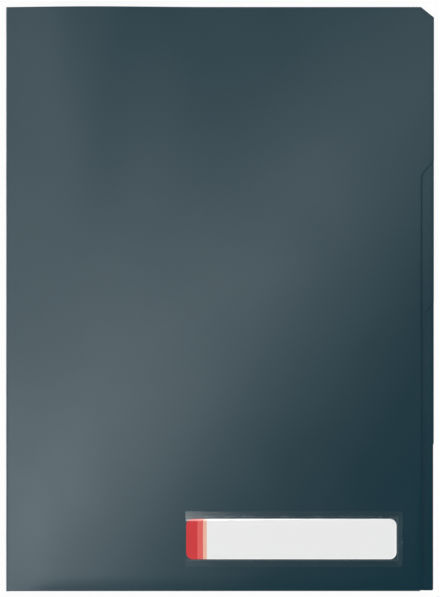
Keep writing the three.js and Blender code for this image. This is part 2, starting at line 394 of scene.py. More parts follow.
    def to_frame(self, x: np.ndarray, y: np.ndarray, z: np.ndarray) -> np.ndarray:
        """Page coordinates in millimetres as row coordinates in metres, along a last axis of three."""
        points = np.stack(np.broadcast_arrays(x, y, z), axis=-1)
        return (points - np.array([self.width / 2, self.height / 2, 0.0])) * MM


def new_piece(
    name: str, points: np.ndarray, faces: np.ndarray, rim: np.ndarray | None = None
) -> bpy.types.Object:
    """Puts points and faces into a mesh object at the origin, with its doubled points merged.

    Args:
        name: Name of the piece.
        points: Row coordinates in metres, one row per point.
        faces: Four point numbers per face, anticlockwise seen from outside.
        rim: True for each face that lies on a cut edge, which takes the second material.

    Returns:
        The object, smooth except at edges sharper than 35 degrees.
    """
    mesh = bpy.data.meshes.new(name)
    mesh.vertices.add(len(points))
    mesh.vertices.foreach_set("co", points.astype(np.float32).ravel())
    mesh.loops.add(faces.size)
    mesh.loops.foreach_set("vertex_index", faces.astype(np.int32).ravel())
    mesh.polygons.add(len(faces))
    mesh.polygons.foreach_set("loop_start", np.arange(0, faces.size, 4, dtype=np.int32))
    if rim is not None:
        mesh.polygons.foreach_set("material_index", rim.astype(np.int32))
    mesh.update()
    mesh.validate()
    work = bmesh.new()
    work.from_mesh(mesh)
    bmesh.ops.remove_doubles(work, verts=work.verts, dist=MERGE_DISTANCE)
    bmesh.ops.dissolve_degenerate(work, edges=work.edges, dist=MERGE_DISTANCE)
    bmesh.ops.recalc_face_normals(work, faces=work.faces)
    work.to_mesh(mesh)
    work.free()
    mesh.polygons.foreach_set("use_smooth", np.ones(len(mesh.polygons), dtype=bool))
    mesh.set_sharp_from_angle(angle=SHARP_ANGLE)
    rest = np.empty(len(mesh.vertices) * 3, dtype=np.float32)
    mesh.vertices.foreach_get("co", rest)
    page = mesh.attributes.new("page", "FLOAT_VECTOR", "POINT")
    page.data.foreach_set("vector", rest)
    piece = bpy.data.objects.new(name, mesh)
    bpy.context.scene.collection.objects.link(piece)
    return piece


def add_values(
    piece: bpy.types.Object, name: str, values_at: Callable[[np.ndarray], np.ndarray]
) -> None:
    """Gives each point of a piece a value that its material reads.

    Args:
        piece: The piece.
        name: Name of the attribute.
        values_at: Gives the values for page coordinates in millimetres, one row per point.
    """
    points = np.empty(len(piece.data.vertices) * 3, dtype=np.float32)
    piece.data.vertices.foreach_get("co", points)
    middle = np.array([*(-np.array(CAD_BOX[0][:2]) / MM), 0.0])
    values = values_at(points.reshape(-1, 3) / MM + middle)
    attribute = piece.data.attributes.new(name, "FLOAT", "POINT")
    attribute.data.foreach_set("value", values.astype(np.float32))


def closed_sheet(name: str, upper: np.ndarray, lower: np.ndarray) -> bpy.types.Object:
    """A closed shell between two faces that are given on the same grid.

    Args:
        name: Name of the piece.
        upper: Points of the outer face, rows by columns by three, in metres.
        lower: Points of the inner face on the same grid.

    Returns:
        The object, with the second material on its four edges.
    """
    rows, cols = upper.shape[:2]
    top = np.arange(rows * cols).reshape(rows, cols)
    low = top + rows * cols
    skin = np.stack([top[:-1, :-1], top[:-1, 1:], top[1:, 1:], top[1:, :-1]], -1).reshape(-1, 4)
    under = np.stack([low[:-1, :-1], low[1:, :-1], low[1:, 1:], low[:-1, 1:]], -1).reshape(-1, 4)
    walls = [
        np.stack([low[0, :-1], low[0, 1:], top[0, 1:], top[0, :-1]], -1),
        np.stack([low[-1, 1:], low[-1, :-1], top[-1, :-1], top[-1, 1:]], -1),
        np.stack([low[:-1, -1], low[1:, -1], top[1:, -1], top[:-1, -1]], -1),
        np.stack([low[1:, 0], low[:-1, 0], top[:-1, 0], top[1:, 0]], -1),
    ]
    faces = np.concatenate([skin, under, *walls])
    rim = np.arange(len(faces)) >= len(skin) + len(under)
    points = np.concatenate([upper.reshape(-1, 3), lower.reshape(-1, 3)])
    return new_piece(name, points, faces, rim)


def closed_loft(name: str, rings: np.ndarray) -> bpy.types.Object:
    """A skin over rings of points, closed where its first and last ring are single places.

    Args:
        name: Name of the piece.
        rings: Points in metres, rings by points by three. Each ring closes on itself.

    Returns:
        The object.
    """
    count, around = rings.shape[:2]
    index = np.arange(count * around).reshape(count, around)
    beside = np.roll(index, -1, axis=1)
    faces = np.stack([index[:-1], beside[:-1], beside[1:], index[1:]], -1).reshape(-1, 4)
    return new_piece(name, rings.reshape(-1, 3), faces)


def add_node(
    tree: bpy.types.NodeTree, kind: str, values: dict[str | int, object], out: str | int = 0
) -> bpy.types.NodeSocket | None:
    """Adds one shader node.

    Args:
        tree: The node tree it goes into.
        kind: Identifier of the node type, without its first word ShaderNode.
        values: The node's own properties by name, and its inputs by name or number. An output socket of
            another node is joined to the input.
        out: Name or number of the wanted output.

    Returns:
        The wanted output socket, or None of a node that has none.
    """
    node = tree.nodes.new(f"ShaderNode{kind}")
    for key, value in values.items():
        if isinstance(value, bpy.types.NodeSocket):
            tree.links.new(value, node.inputs[key])
        elif isinstance(key, str) and hasattr(node, key):
            setattr(node, key, value)
        else:
            node.inputs[key].default_value = value
    return node.outputs[out] if len(node.outputs) else None


@dataclass(frozen=True)
class Finish:
    """A surface finish, and the material that is made from it."""

    name: str

    def build(self) -> bpy.types.Material:
        """Makes the material.

        Returns:
            A node material that shows the finish's shader.
        """
        material = bpy.data.materials.new(self.name)
        material.use_nodes = True
        tree = material.node_tree
        tree.nodes.clear()
        add_node(tree, "OutputMaterial", {"Surface": self.shader(tree)})
        return material

    def shader(self, tree: bpy.types.NodeTree) -> bpy.types.NodeSocket:
        """Adds the finish's nodes.

        Args:
            tree: The material's node tree.

        Returns:
            The output of the finish's shader.
        """
        raise NotImplementedError


@dataclass(frozen=True)
class EmbossedPolypropylene(Finish):
    """Polypropylene sheet, coloured through and calendered against an engraved roll.

    The roll leaves a fine satin grain that breaks up reflections and leaves them soft, so a large lamp
    shows as a slow gradient and never as a shape. Handling leaves faint cloudy changes of gloss.
    """

    colour: str = "#0A2B35"
    cloud_colour: str = "#0E2E38"
    gloss_tint: str = "#EFF9FF"
    roughness: float = 0.21
    roughness_change: float = 0.03
    ior: float = 1.49
    grain_mm: float = 0.55  # the real grain is about 0.3 mm; drawn coarser so that it shows
    grain_depth_mm: float = 0.015
    cloud_mm: float = 45.0
    cloud_range: tuple[float, float] = (0.3, 0.7)  # of the noise, over which the gloss changes

    def shader(self, tree: bpy.types.NodeTree) -> bpy.types.NodeSocket:
        """Adds the finish's nodes: grain and clouds are noise over the sheet's place at rest.

        Args:
            tree: The material's node tree.

        Returns:
            The output of the finish's shader.
        """
        page = add_node(tree, "Attribute", {"attribute_name": "page"}, "Vector")
        fine = {"Scale": 1 / (self.grain_mm * MM), "Detail": 2.0, "Roughness": 0.55, "Vector": page}
        grain = add_node(tree, "TexNoise", fine)
        slow = {"Scale": 1 / (self.cloud_mm * MM), "Detail": 3.0, "Roughness": 0.5, "Vector": page}
        cloud = add_node(tree, "TexNoise", slow)
        mixed = {"data_type": "RGBA", 0: cloud, 6: linear(self.colour), 7: linear(self.cloud_colour)}
        tint = add_node(tree, "Mix", mixed, 2)
        change = {
            "From Min": self.cloud_range[0],
            "From Max": self.cloud_range[1],
            "To Min": self.roughness - self.roughness_change / 2,
            "To Max": self.roughness + self.roughness_change / 2,
            "Value": cloud,
        }
        gloss = add_node(tree, "MapRange", change)
        bump = add_node(tree, "Bump", {"Distance": self.grain_depth_mm * MM, "Height": grain})
        body = {"IOR": self.ior, "Specular Tint": linear(self.gloss_tint), "Base Color": tint}
        return add_node(tree, "BsdfPrincipled", {**body, "Roughness": gloss, "Normal": bump})


@dataclass(frozen=True)
class CutPolypropylene(Finish):
    """The edge that a steel rule leaves on polypropylene: a little paler and duller than the face."""

    colour: str = "#2C434C"
    roughness: float = 0.5
    roughness_change: float = 0.2
    ior: float = 1.49
    streak_mm: float = 1.2

    def shader(self, tree: bpy.types.NodeTree) -> bpy.types.NodeSocket:
        """Adds the finish's nodes: fine streaks of noise down the cut change its gloss.

        Args:
            tree: The material's node tree.

        Returns:
            The output of the finish's shader.
        """
        page = add_node(tree, "Attribute", {"attribute_name": "page"}, "Vector")
        noise = {"Scale": 1 / (self.streak_mm * MM), "Detail": 1.0, "Vector": page}
        streak = add_node(tree, "TexNoise", noise)
        change = {
            "To Min": self.roughness - self.roughness_change / 2,
            "To Max": self.roughness + self.roughness_change / 2,
            "Value": streak,
        }
        gloss = add_node(tree, "MapRange", change)
        body = {"Base Color": linear(self.colour), "IOR": self.ior}
        return add_node(tree, "BsdfPrincipled", {**body, "Roughness": gloss})


@dataclass(frozen=True)
class MeltedPolypropylene(Finish):
    """Polypropylene that was melted by the trim weld: the grain is gone, and it is glossy and uneven."""

    colour: str = "#1B3B46"
    roughness: float = 0.3
    ior: float = 1.49
    ripple_mm: float = 2.5
    ripple_depth_mm: float = 0.03
    ripple_strength: float = 0.8

    def shader(self, tree: bpy.types.NodeTree) -> bpy.types.NodeSocket:
        """Adds the finish's nodes: slow noise ripples where the melt froze.

        Args:
            tree: The material's node tree.

        Returns:
            The output of the finish's shader.
        """
        page = add_node(tree, "Attribute", {"attribute_name": "page"}, "Vector")
        noise = {"Scale": 1 / (self.ripple_mm * MM), "Detail": 2.0, "Vector": page}
        ripple = add_node(tree, "TexNoise", noise)
        depth = {"Strength": self.ripple_strength, "Distance": self.ripple_depth_mm * MM}
        bump = add_node(tree, "Bump", {**depth, "Height": ripple})
        body = {"Base Color": linear(self.colour), "IOR": self.ior, "Roughness": self.roughness}
        return add_node(tree, "BsdfPrincipled", {**body, "Normal": bump})


@dataclass(frozen=True)
class ClearFilm(Finish):
    """Cast polypropylene film: colourless and glossy, so only its reflections and its edges show.

    Where it is welded to the sheet, the knurled bar of the press leaves it a little cloudy, and the blue of
    the sheet melted into it tints the cloud.
    """

    colour: str = "#FEFEFE"
    ior: float = 1.49
    roughness: float = 0.08
    cloud: str = "#BCE4F8"
    haze: float = 0.0065  # share of the cloud all over the film
    weld_haze: float = 0.0082  # share added in a full weld
    weld_grain_mm: float = 0.5
    drag_mm: float = 14.0  # length of the slow ripples from the film's casting
    drag_depth_mm: float = 0.03
    drag_strength: float = 0.5

    def shader(self, tree: bpy.types.NodeTree) -> bpy.types.NodeSocket:
        """Adds the finish's nodes: a clear sheet, a mirror layer, and a share of milk where it is cloudy.

        The mirror's share grows with the fifth power of the grazing. The milk's is a little everywhere, and
        in the welds more, by twice the noise, which is a half on average.

        Args:
            tree: The material's node tree.

        Returns:
            The output of the finish's shader.
        """
        where = add_node(tree, "TexCoord", {}, "Object")
        noise = {"Scale": 1 / (self.drag_mm * MM), "Detail": 1.0, "Vector": where}
        drag = add_node(tree, "TexNoise", noise)
        depth = {"Strength": self.drag_strength, "Distance": self.drag_depth_mm * MM}
        bump = add_node(tree, "Bump", {**depth, "Height": drag})
        clear = add_node(tree, "BsdfTransparent", {"Color": linear(self.colour)})
        mirror = {"Base Color": (1.0, 1.0, 1.0, 1.0), "Metallic": 1.0, "Roughness": self.roughness}
        gloss = add_node(tree, "BsdfPrincipled", {**mirror, "Normal": bump})
        facing = add_node(tree, "LayerWeight", {"Blend": 0.5, "Normal": bump}, "Facing")
        grazing = add_node(tree, "Math", {"operation": "POWER", 0: facing, 1: 5.0})
        least = ((self.ior - 1) / (self.ior + 1)) ** 2
        share = add_node(tree, "MapRange", {"To Min": least, "To Max": 1.0, "Value": grazing})
        film = add_node(tree, "MixShader", {0: share, 1: clear, 2: gloss})
        milk = add_node(tree, "BsdfPrincipled", {"Base Color": linear(self.cloud)})
        weld = add_node(tree, "Attribute", {"attribute_name": "weld"}, "Fac")
        noise = {"Scale": 1 / (self.weld_grain_mm * MM), "Detail": 1.0, "Vector": where}
        knurl = add_node(tree, "TexNoise", noise)
        mottled = add_node(tree, "Math", {"operation": "MULTIPLY", 0: weld, 1: knurl})
        haze = {"operation": "MULTIPLY_ADD", 0: mottled, 1: 2 * self.weld_haze, 2: self.haze}
        cloudy = add_node(tree, "Math", haze)
        return add_node(tree, "MixShader", {0: cloudy, 1: film, 2: milk})


@dataclass(frozen=True)
class PrintedCard(Finish):
    """White index card: uncoated bleached board with a striped end printed in three warm colours.

    It is almost matt, with the faint tooth of paper. Round the die-cut edge a whiter rim is a painted
    highlight of the edge catching the light; inside it lies the pale ground, and the stripes run off the
    edge over both.
    """

    left_mm: float
    stripes: tuple[tuple[str, float], ...] = (("#D3282B", 5.9), ("#E5605A", 3.0), ("#F0BDA6", 2.0))
    ground: str = "#F1F1F0"
    # Painted highlight: the whiter rim stands for the die-cut edge catching the light.
    rim_highlight: str = "#FDFDFC"
    rim_highlight_mm: float = 0.6  # width of the painted highlight round the edge
    roughness: float = 0.7
    specular_level: float = 0.25
    fibre_mm: float = 0.6
    fibre_depth_mm: float = 0.006
    fibre_strength: float = 0.6

    def shader(self, tree: bpy.types.NodeTree) -> bpy.types.NodeSocket:
        """Adds the finish's nodes: a painted highlight at the rim, the ground, and the stripes over both.

        A stripe is wherever x is less than at its inner side. The stripes nearer the end are laid over it.

        Args:
            tree: The material's node tree.

        Returns:
            The output of the finish's shader.
        """
        page = add_node(tree, "Attribute", {"attribute_name": "page"}, "Vector")
        across = add_node(tree, "SeparateXYZ", {"Vector": page}, "X")
        inset = add_node(tree, "Attribute", {"attribute_name": "inset"}, "Fac")
        # Painted highlight: the card is whiter within the rim's width of its edge.
        printed = add_node(tree, "Math", {"operation": "GREATER_THAN", 0: inset, 1: self.rim_highlight_mm})
        mixed = {"data_type": "RGBA", 0: printed, 6: linear(self.rim_highlight), 7: linear(self.ground)}
        face = add_node(tree, "Mix", mixed, 2)
        end = self.left_mm + sum(width for _, width in self.stripes)
        for shade, width in reversed(self.stripes):
            inside = add_node(tree, "Math", {"operation": "LESS_THAN", 0: across, 1: end * MM})
            mixed = {"data_type": "RGBA", 0: inside, 6: face, 7: linear(shade)}
            face = add_node(tree, "Mix", mixed, 2)
            end -= width
        noise = {"Scale": 1 / (self.fibre_mm * MM), "Detail": 4.0, "Vector": page}
        fibre = add_node(tree, "TexNoise", noise)
        depth = {"Strength": self.fibre_strength, "Distance": self.fibre_depth_mm * MM}
        bump = add_node(tree, "Bump", {**depth, "Height": fibre})
        body = {"Roughness": self.roughness, "Specular IOR Level": self.specular_level}
        return add_node(tree, "BsdfPrincipled", {**body, "Base Color": face, "Normal": bump})


@dataclass(frozen=True)
class SweepPaper(Finish):
    """The pale paper that the folder lies on, which reads as white and keeps a faint shadow."""

    albedo: float = 0.8
    glow: float = 1.0
    shade_share: float = 0.12

    def shader(self, tree: bpy.types.NodeTree) -> bpy.types.NodeSocket:
        """Adds the finish's nodes: matt paper for the lamps, and nearly white for what looks at it.

        Args:
            tree: The material's node tree.

        Returns:
            The output of the finish's shader.
        """
        path = add_node(tree, "LightPath", {}).node.outputs
        seen = path["Is Camera Ray"]
        for ray in ("Is Glossy Ray", "Is Transmission Ray"):
            seen = add_node(tree, "Math", {"operation": "ADD", "use_clamp": True, 0: seen, 1: path[ray]})
        paper = add_node(tree, "BsdfDiffuse", {"Color": (self.albedo, self.albedo, self.albedo, 1.0)})
        glow = add_node(tree, "Emission", {"Strength": self.glow})
        lit = add_node(tree, "MixShader", {0: 1 - self.shade_share, 1: paper, 2: glow})
        return add_node(tree, "MixShader", {0: seen, 1: paper, 2: lit})


def dress(piece: bpy.types.Object, slot: Slot, *materials: bpy.types.Material) -> None:
    """Gives a piece its materials and logs it.

    Args:
        piece: The piece.
        slot: The slot that the materials stand for. Not used.
        materials: The materials, the one for the faces first.
    """
    for material in materials:
        piece.data.materials.append(material)
    LOG.info("%s: %d faces", piece.name, len(piece.data.polygons))


@dataclass(frozen=True)
class Stretch:
    """One stretch of a leaf between two cuts, and the bodies that it joins.

    Attributes:
        name: Name of the piece.
        first_bend: Number of the bend that the stretch starts at, or None at the spine.
        last_bend: Number of the bend that the stretch ends at, or None at the free corner.
        bodies: The body before the bend in this stretch and the body after it.
        stands_for: The nodes that the stretch replaces.
    """

    name: str
    first_bend: int | None
    last_bend: int | None
    bodies: tuple[str, str]
    stands_for: tuple[str, ...]


# The stretches of each leaf. A leaf in front bends at each bend of the leaves behind it.
REAR, MIDDLE, FRONT = "rear_divider_leaf", "front_divider_leaf", "front_cover_leaf"
STRETCHES: dict[Leaf, tuple[Stretch, ...]] = {
    Leaf.BACK_COVER: (Stretch("back_sheet", None, None, ("covers", "covers"), ("back_cover",)),),
    Leaf.REAR_DIVIDER: (
        Stretch("rear_divider_sheet", None, None, ("covers", REAR), ("rear_divider", "rear_divider_corner")),
    ),
    Leaf.FRONT_DIVIDER: (
        Stretch("front_divider_sheet", None, 1, ("covers", REAR), ("front_divider", "front_divider_bend")),
        Stretch("front_divider_free", 1, None, (REAR, MIDDLE), ("front_divider_corner",)),
    ),
    Leaf.FRONT_COVER: (
        Stretch("front_cover_sheet", None, 1, ("covers", REAR), ("front_cover", "front_cover_bend_1")),
        Stretch("front_cover_bend", 1, 2, (REAR, MIDDLE), ("front_cover_bend_2",)),
        Stretch("front_cover_free", 2, None, (MIDDLE, FRONT), ("front_cover_corner",)),
    ),
}


@dataclass
class LeafSheet:
    """One leaf of the folder: a draped sheet with its tab, cut corner and bends."""

    sizes: FolderSizes
    leaf: Leaf
    stretches: tuple[Stretch, ...]
    face: bpy.types.Material
    edge: bpy.types.Material
    spacing: float = 2.5
    spine_columns: int = 70
    bend_columns: int = 12
    roll_columns: int = 4
    least_step: float = 0.05  # from a stretch's first row to the next
    halvings: int = 50

    def build(self) -> None:
        """Builds each stretch and dresses it. A stretch whose two bodies are one is fixed to that body; the
        others stay where they lie at rest.
        """
        for stretch in self.stretches:
            piece = self._mesh(stretch)
            dress(piece, Slot.SHEET, self.face, self.edge)
            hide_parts(*stretch.stands_for)
            bend = stretch.first_bend or 0
            before, after = stretch.bodies
            if before == after:
                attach(piece, before)
            else:
                self._bend_point(bend)
                self._bend_point(bend + 1)
                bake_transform(piece)

    def _bend_point(self, number: int) -> tuple[float, float, float]:
        """A point on the bend line of that number, at the height of the lowest leaf.

        Args:
            number: Number of the bend line, counted from the spine.

        Returns:
            Its row coordinates in metres.
        """
        s = self.sizes
        at = np.array([s.bend_top_x, s.height]) + s.bend_out * s.bend_step * number
        x, y, z = s.to_frame(at[0], at[1], 0.0)
        return (float(x), float(y), float(z))

    def _mesh(self, stretch: Stretch) -> bpy.types.Object:
        """The stretch as a closed shell.

        Each row of points lies at one y. Its columns lie on lines parallel to the bends, so that a bend
        folds along the columns, and none goes past the open side. Between the spine and the first bend
        the columns divide each row evenly.

        Args:
            stretch: Which stretch of the leaf.

        Returns:
            The object.
        """
        s = self.sizes
        y = s.rows(self.leaf, self.spacing)
        if stretch.first_bend is not None:
            start = self._meeting(stretch.first_bend * s.bend_step)
            y = np.concatenate([[start], y[y > start + self.least_step]])
        edge = s.open_edge(self.leaf, y)[:, None]
        lines = np.stack([s.bend_x(out, y) for out in self._outs(stretch)], axis=1)
        first, last = np.minimum(lines[:, :1], edge), np.minimum(lines[:, -1:], edge)
        rolled = edge - s.edge_roll * np.linspace(1.0, 0.0, self.roll_columns + 1)[None, 1:]
        columns = [first, np.maximum(first, np.minimum(lines[:, 1:], edge - s.edge_roll))]
        columns.append(np.maximum(first, np.minimum(last, rolled)))
        if stretch.first_bend is None:
            fence = np.minimum(first, edge - s.edge_roll)
            share = np.linspace(0.0, 1.0, self.spine_columns + 1)[None, :]
            columns[0] = s.seam_width + (fence - s.seam_width) * share
            columns[1] = np.minimum(lines[:, 1:], edge - s.edge_roll)
        x = np.concatenate(columns, axis=1)
        rows = np.broadcast_to(y[:, None], x.shape)
        z = s.lift(self.leaf, x, rows) - s.roll(self.leaf, x, rows)
        rows = rows - s.drop(self.leaf, x, rows)
        upper, lower = s.to_frame(x, rows, z + s.sheet), s.to_frame(x, rows, z)
        return closed_sheet(stretch.name, upper, lower)

    def _outs(self, stretch: Stretch) -> np.ndarray:
        """Where the columns of a stretch are: close together in its bend, and wider past it.

        Args:
            stretch: Which stretch of the leaf.

        Returns:
            Their distances from the first bend line.
        """
        s = self.sizes
        first = (stretch.first_bend or 0) * s.bend_step
        bent = np.linspace(first, first + s.bend_step, self.bend_columns + 1)
        if stretch.last_bend is not None:
            return bent
        reach = float(s.bend_out[0]) * (s.width - s.bend_top_x)
        flat = np.arange(first + s.bend_step, reach, self.spacing)[1:]
        return np.concatenate([bent, flat, [reach]])

    def _meeting(self, out: float) -> float:
        """Where a line parallel to the bends meets the open side, found by halving.

        Args:
            out: Distance of the line from the first bend line.

        Returns:
            The y of the meeting point.
        """
        s = self.sizes
        low, high = s.fold_radius, s.height
        for _ in range(self.halvings):
            middle = (low + high) / 2
            y = np.array([middle])
            inside = s.bend_x(out, y)[0] < s.open_edge(self.leaf, y)[0]
            low, high = (low, middle) if inside else (middle, high)
        return high


@dataclass
class FoldStrip:
    """The bottom fold of one sheet: half a tube from its front leaf round to its back leaf."""

    sizes: FolderSizes
    name: str
    node: str
    radius: float
    face: bpy.types.Material
    edge: bpy.types.Material
    tuck: float = 0.05  # how far it reaches between the leaves that it joins
    columns: int = 90
    around: int = 17

    def build(self) -> None:
        """Builds the fold, dresses it and fixes it to the covers.

        Its faces are half circles of the outer and the inner radius about one line, carried along the fold.
        """
        s = self.sizes
        x = np.linspace(s.seam_width, s.leaf_width - s.end_cut, self.columns)[None, :]
        angle = np.linspace(1.5 * math.pi, 0.5 * math.pi, self.around)[:, None]
        faces = []
        for radius in (self.radius, self.radius - s.sheet):
            y = s.fold_radius + radius * np.cos(angle)
            y[[0, -1]] += self.tuck
            z = s.fold_radius + radius * np.sin(angle)
            faces.append(s.to_frame(x, y, z))
        piece = closed_sheet(self.name, *faces)
        dress(piece, Slot.SHEET, self.face, self.edge)
        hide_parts(self.node)
        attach(piece, "covers")


@dataclass
class SpineSeam:
    """The bead of the trim weld that closes the folder down its left side."""

    sizes: FolderSizes
    melt: bpy.types.Material
    overlap: float = 0.15  # how far the bead laps onto the ends of the leaves
    swell: float = 0.03
    waves: tuple[tuple[float, float], ...] = ((7.3, 0.4), (3.1, 1.9), (17.0, 4.2))  # lengths and starts
    rows: int = 240
    around: int = 19
    squareness: float = 3.5  # power of the bead's profile, where 2 is an ellipse

    def build(self) -> None:
        """Builds the bead, dresses it and fixes it to the covers.

        Its rings are a squared half ellipse closed by a flat side, and swell slowly by three sine waves.
        """
        s = self.sizes
        y = np.linspace(0.0, s.height, self.rows)[:, None]
        swell = sum(np.sin(y / wave + start) for wave, start in self.waves)
        grow = 1 - self.swell * (1 + swell / len(self.waves))
        turn = np.linspace(0.5 * math.pi, 1.5 * math.pi, self.around)[None, :]
        half = s.seam_stack / 2
        power = 2 / self.squareness
        across, up = (np.sign(v) * np.abs(v) ** power for v in (np.cos(turn), np.sin(turn)))
        x = s.seam_width + s.seam_width * across * grow
        z = half + half * up * grow
        lap = np.array([-1.0, 1.0])[None, :] * half * grow
        x = np.concatenate([x, np.full_like(lap, s.seam_width + self.overlap)], axis=1)
        z = np.concatenate([z, half + lap], axis=1)
        rings = s.to_frame(x, y, z)
        middles = np.broadcast_to(rings.mean(axis=1, keepdims=True), rings.shape)
        piece = closed_loft("spine_bead", np.concatenate([middles[:1], rings, middles[-1:]]))
        dress(piece, Slot.SEAM, self.melt)
        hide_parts("spine_seam")
        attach(piece, "covers")


@dataclass
class LabelPocket:
    """The clear film welded to the front cover along its top, bottom and right."""

    sizes: FolderSizes
    film: bpy.types.Material
    left: float = 95.25
    bottom: float = 13.1
    width: float = 114.95
    height: float = 29.4
    corner: float = 1.5
    thickness: float = 0.15
    border: float = 3.9  # from the film's long edges to the slot for the card
    end_border: float = 3.0
    fine_end: float = 4.0  # stretch at the closed end in which the points lie closer
    flat: float = 0.1  # width of the film's edge that lies on the cover
    slack: float = 2.85  # width of the border over which the film climbs gently
    room: float = 0.29  # height of the slot for the card
    slack_share: float = 0.26  # share of that height which it has climbed by then
    card_play: float = 0.02  # clear height under the card
    weld: float = 1.2  # width of the welds along the long edges
    weld_fade: float = 0.5
    weld_share: float = 0.2  # how cloudy the narrow welds are beside the wide one at the end
    end_weld: float = 2.1  # width of the weld at the closed end

    @property
    def base(self) -> float:
        """Height of the front cover's upper face, where it lies flat."""
        return Leaf.FRONT_COVER * self.sizes.open_pitch + self.sizes.sheet

    def build(self) -> None:
        """Builds the film over a grid, dresses it and fixes it to the covers.

        Going in from its edges, the film is flat for a moment, climbs at an even slope over the slack part
        of the border, and then climbs the rest of the slot's height at a steeper one. Its points say how
        cloudy the weld has left them: most at the closed end, and less in the narrow welds.
        """
        s = self.sizes
        top, right = self.bottom + self.height, self.left + self.width
        inward = [self.bottom, self.bottom + self.corner, self.bottom + self.border]
        outward = [top - self.border, top - self.corner, top]
        y = joined_steps([*inward, *outward], [8, 24, 12, 24, 8])
        near = np.minimum(y - self.bottom, top - y)
        limit = right - arc_fall(self.corner - near, self.corner)
        share = joined_steps([0.0, 1 - self.fine_end / self.width, 1.0], [59, 29])
        x = self.left + (limit[:, None] - self.left) * share[None, :]
        rows = np.broadcast_to(y[:, None], x.shape)
        inside = np.minimum(near[:, None], (right - x) * self.border / self.end_border)
        even = np.clip((inside - self.flat) / (self.slack - self.flat), 0.0, 1.0)
        step = np.clip((inside - self.slack) / (self.border - self.slack), 0.0, 1.0)
        z = self.base + self.room * (self.slack_share * even + (1 - self.slack_share) * step)
        upper, lower = s.to_frame(x, rows, z + self.thickness), s.to_frame(x, rows, z)
        piece = closed_sheet("pocket_film", upper, lower)
        add_values(piece, "weld", self._weld_at)
        dress(piece, Slot.FILM, self.film, self.film)
        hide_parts("label_pocket")
        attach(piece, "covers")

    def _weld_at(self, page: np.ndarray) -> np.ndarray:
        """How cloudy the weld is at each point: full in the weld, and eased off beside it.

        Args:
            page: Page coordinates, one row per point.

        Returns:
            The share of the full cloudiness at each point.
        """
        x, y = page[:, 0], page[:, 1]
        along = np.minimum(y - self.bottom, self.bottom + self.height - y)
        end = self.left + self.width - x
        narrow = self.weld_share * (1 - ease((along - self.weld) / self.weld_fade))
        return np.maximum(narrow, 1 - ease((end - self.end_weld) / self.weld_fade))


@dataclass
class LabelCard:
    """The card in the pocket, with square-cut edges, round corners and a printed end."""

    sizes: FolderSizes
    print_finish: bpy.types.Material
    box: tuple[np.ndarray, np.ndarray] = field(default_factory=lambda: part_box("label_card"))
    rest: float = 0.0  # height of its lower face
    corner: float = 3.6
    edge_round: float = 0.05
    face_insets: tuple[float, float] = (5.0, 1.0)  # of the outlines on both faces
    rim_insets: tuple[float, float, float] = (0.3, 0.55, 0.65)  # of those by the inner edge of the painted highlight rim

    @property
    def plan(self) -> tuple[np.ndarray, np.ndarray]:
        """Middle and half size of the card's box in millimetres, in the row frame."""
        low, high = (np.array(corner) / MM for corner in self.box)
        return (low + high) / 2, (high - low) / 2

    def build(self) -> None:
        """Builds the card, dresses it and lets it slide with its body.

        Its rings are outlines stacked from the middle of the lower face, round the edge, to the middle of
        the upper one.
        """
        half = self.plan[1]
        low, high = self.rest, self.rest + 2 * half[2]
        e = self.edge_round
        under = [(inset, low) for inset in (half[1], *self.face_insets, e)]
        over = [(inset, high) for inset in (e, *self.rim_insets, *self.face_insets[::-1], half[1])]
        rings = []
        for inset, z in [*under, (0.0, low + e), (0.0, high - e), *over]:
            outline = self._outline(inset)
            rings.append(np.column_stack([outline, np.full(len(outline), z)]))
        piece = closed_loft("index_card", np.stack(rings) * MM)
        add_values(piece, "inset", self._inset_at)
        dress(piece, Slot.CARD, self.print_finish)
        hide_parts("label_card")
        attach(piece, "label")

    def _outline(self, inset: float) -> np.ndarray:
        """The card's outline moved in by a distance: four straight sides and four quarter circles.

        Args:
            inset: The distance in millimetres.

        Returns:
            Its points in the row frame in millimetres, one row per point.
        """
        middle, half = self.plan
        half = half[:2] - inset
        r = max(self.corner - inset, 0.0)
        turn = np.linspace(0.0, 0.5 * math.pi, 13)
        side_x = np.linspace(0.0, 1.0, 41)[:, None] * np.array([[half[0] - r, 0.0]]) + [[0.0, half[1]]]
        arc = np.stack([half[0] - r + r * np.sin(turn), half[1] - r + r * np.cos(turn)], axis=-1)
        side_y = np.linspace(1.0, 0.0, 9)[:, None] * np.array([[0.0, half[1] - r]]) + [[half[0], 0.0]]
        quarter = np.concatenate([side_x, arc[1:], side_y[1:]])
        across = quarter[::-1][1:] * [1.0, -1.0]
        right = np.concatenate([quarter, across])
        left = right[::-1][1:-1] * [-1.0, 1.0]
        return middle[:2] + np.concatenate([right, left])

    def _inset_at(self, page: np.ndarray) -> np.ndarray:
        """How far inside the card's outline each point is, by the formula of a box with round corners.

        Args:
            page: Page coordinates, one row per point.

        Returns:
            The distances in millimetres.
        """
        middle, half = self.plan
        corner = np.array([self.sizes.width, self.sizes.height]) / 2
        q = np.abs(page[:, :2] - middle[:2] - corner) - half[:2] + self.corner
        outside = np.linalg.norm(np.maximum(q, 0.0), axis=1)
        return self.corner - outside - np.minimum(q.max(axis=1), 0.0)


